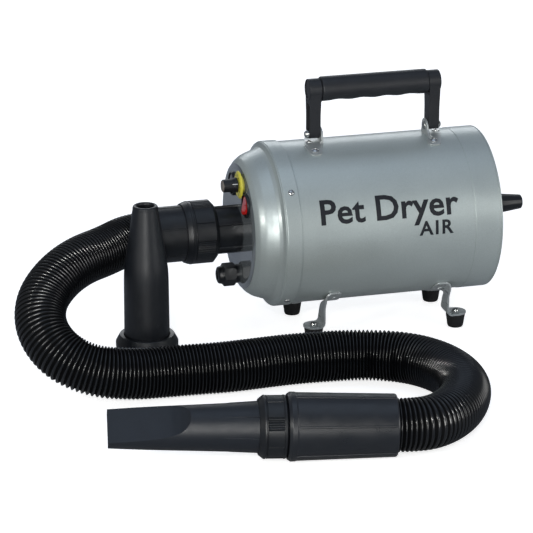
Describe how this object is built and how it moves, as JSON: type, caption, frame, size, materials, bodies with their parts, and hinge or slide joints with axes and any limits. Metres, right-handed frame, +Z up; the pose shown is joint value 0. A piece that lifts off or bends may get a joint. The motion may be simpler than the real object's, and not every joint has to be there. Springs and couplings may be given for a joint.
{
  "type": "pet dryer",
  "caption": "Canister blower on four feet with a fold-down carry handle, speed dial, corrugated stretch hose, grip with flat nozzle and a spare round nozzle.",
  "frame": {"origin": "on the floor plane of the four feet, under the middle of the barrel", "axes": "+Z up, +X along the barrel towards the air intake end, -X towards the panel and outlet, -Y towards the side the hose is laid on"},
  "size_m": [0.5555, 0.4607, 0.2647],
  "materials": {
    "silver_paint": "satin metallic",
    "panel_paint": "gloss metallic",
    "bracket_steel": "zinc plated",
    "bright_screw": "polished",
    "black_plastic": "moulded, lightly grained",
    "soft_black": "soft matte",
    "hose_black": "glossy corrugated",
    "red_lens": "glossy translucent",
    "dark_lens": "glossy",
    "yellow_plastic": "satin",
    "cap_grey": "satin",
    "core_steel": "laminated",
    "motor_alloy": "cast",
    "copper": "enamelled wire",
    "carbon": "pressed",
    "foam_grey": "open cell foam",
    "filter_foam": "open cell foam",
    "circuit_board": "coated"
  },
  "bodies": {
    "root": {"barrel_shell": "silver_paint", "front_collar": "silver_paint", "front_dome": "panel_paint", "collar_rivets": "bright_screw", "rear_band": "silver_paint", "intake_spider": "bracket_steel", "intake_stud": "bracket_steel", "motor_mount_plate": "bracket_steel", "rubber_mount_ring": "soft_black", "fan_housing": "motor_alloy", "stator_core": "core_steel", "field_windings": "copper", "end_bracket": "motor_alloy", "bearings": "bracket_steel", "brush_holders": "copper", "carbon_brushes": "carbon", "acoustic_foam": "foam_grey", "speed_board": "circuit_board", "outlet_spigot": "black_plastic", "hose_cuff": "black_plastic", "rocker_red_housing": "black_plastic", "rocker_dark_housing": "black_plastic", "dial_plate": "yellow_plastic", "potentiometer": "bracket_steel", "gland_body": "black_plastic", "gland_nut": "black_plastic", "gland_seal": "soft_black", "gland_locknut": "black_plastic", "handle_brackets": "bracket_steel", "handle_bolts": "bright_screw", "bracket_rivets": "bright_screw", "leg_brackets": "bracket_steel", "leg_rivets": "bright_screw", "rubber_feet": "soft_black", "foot_screws": "bright_screw", "grip_sleeve": "black_plastic", "hose_tube": "hose_black"},
    "handle": {"handle_frame": "black_plastic", "handle_sleeve": "black_plastic"},
    "main_switch": {"rocker_red_button": "red_lens"},
    "second_switch": {"rocker_dark_button": "dark_lens"},
    "speed_knob": {"knob_shaft": "bracket_steel", "speed_knob": "black_plastic", "speed_knob_cap": "cap_grey"},
    "motor_rotor": {"impeller": "motor_alloy", "motor_shaft": "bracket_steel", "armature": "core_steel", "commutator": "copper"},
    "intake_cover": {"intake_guard": "silver_paint", "intake_filter": "filter_foam"},
    "filter_knob": {"filter_knob": "black_plastic"},
    "outlet_nut": {"outlet_nut": "black_plastic"},
    "handpiece_nut": {"handpiece_nut": "black_plastic"},
    "flat_nozzle": {"flat_nozzle": "soft_black"},
    "round_nozzle": {"round_nozzle": "soft_black"},
    "round_nozzle_nut": {"round_nozzle_nut": "black_plastic"}
  },
  "joints": [
    {"name": "handle_fold", "type": "hinge", "parent": "root", "child": "handle", "pos_m": [0, 0, 0.2058], "axis": [1, 0, 0], "range_deg": [-55, 55]},
    {"name": "main_switch_rock", "type": "hinge", "parent": "root", "child": "main_switch", "pos_m": [-0.1406, -0.0376, 0.148], "axis": [0, -1, 0], "range_deg": [0, 20]},
    {"name": "second_switch_rock", "type": "hinge", "parent": "root", "child": "second_switch", "pos_m": [-0.1406, 0.0143, 0.1557], "axis": [0, -1, 0], "range_deg": [0, 20]},
    {"name": "speed_knob_turn", "type": "hinge", "parent": "root", "child": "speed_knob", "pos_m": [-0.15, -0.018, 0.1643], "axis": [-1, 0, 0], "range_deg": [-150, 150]},
    {"name": "motor_spin", "type": "hinge", "parent": "root", "child": "motor_rotor", "pos_m": [0, 0, 0.1148], "axis": [1, 0, 0], "continuous": true},
    {"name": "intake_cover_pull", "type": "slide", "parent": "root", "child": "intake_cover", "axis": [1, 0, 0], "range_m": [0, 0.06]},
    {"name": "filter_knob_turn", "type": "hinge", "parent": "intake_cover", "child": "filter_knob", "pos_m": [0.15, 0, 0.1148], "axis": [1, 0, 0], "continuous": true},
    {"name": "outlet_nut_turn", "type": "hinge", "parent": "root", "child": "outlet_nut", "pos_m": [-0.184, 0, 0.1123], "axis": [-1, 0, 0], "continuous": true},
    {"name": "handpiece_nut_turn", "type": "hinge", "parent": "root", "child": "handpiece_nut", "pos_m": [-0.19765, -0.32823, 0.03211], "axis": [-0.9843, 0.1744, 0.0253], "continuous": true},
    {"name": "flat_nozzle_turn", "type": "hinge", "parent": "root", "child": "flat_nozzle", "pos_m": [-0.19765, -0.32823, 0.03211], "axis": [-0.9843, 0.1744, 0.0253], "continuous": true},
    {"name": "round_nozzle_lift", "type": "slide", "parent": "root", "child": "round_nozzle", "axis": [0, 0, 1], "range_m": [0, 0.12]},
    {"name": "round_nozzle_nut_turn", "type": "hinge", "parent": "round_nozzle", "child": "round_nozzle_nut", "pos_m": [-0.2527, -0.0659, 0.017], "axis": [0, 0, 1], "continuous": true}
  ]
}
